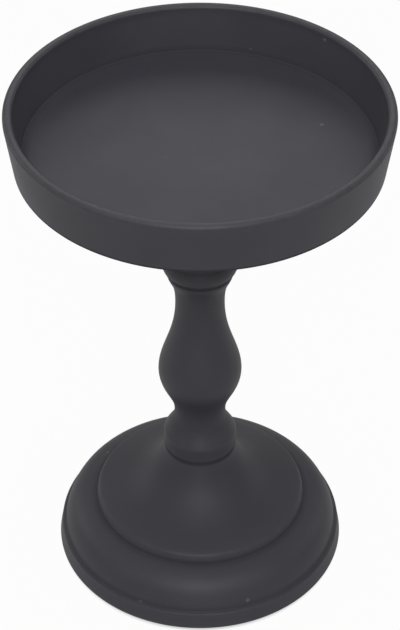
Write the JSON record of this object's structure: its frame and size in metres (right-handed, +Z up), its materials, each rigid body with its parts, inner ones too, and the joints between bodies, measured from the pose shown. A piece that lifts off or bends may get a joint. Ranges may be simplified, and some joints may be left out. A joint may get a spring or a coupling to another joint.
{
  "type": "candle holder",
  "caption": "Pedestal candle holder: shallow round tray with a low upright rim on a turned baluster column and a stepped bell base, held by a central tie rod.",
  "frame": {"origin": "centre of the felt pad's underside, on the surface that the holder stands on", "axes": "+Z up along the axis of the column and tray; +Y points away from the picture's viewpoint and +X to its right; the shape is the same all round"},
  "size_m": [0.1, 0.1, 0.15],
  "materials": {
    "charcoal_paint": "matte to satin charcoal powder coat with a fine texture",
    "zinc_plate": "bright zinc plate on steel",
    "felt": "dense black felt"
  },
  "bodies": {
    "root": {"tray": "charcoal_paint", "tray_boss": "zinc_plate", "upper_flare": "charcoal_paint", "column": "charcoal_paint", "base": "charcoal_paint", "tie_rod": "zinc_plate", "flat_washer": "zinc_plate", "spring_washer": "zinc_plate", "hex_nut": "zinc_plate", "bottom_plate": "zinc_plate", "felt_pad": "felt"}
  },
  "joints": []
}
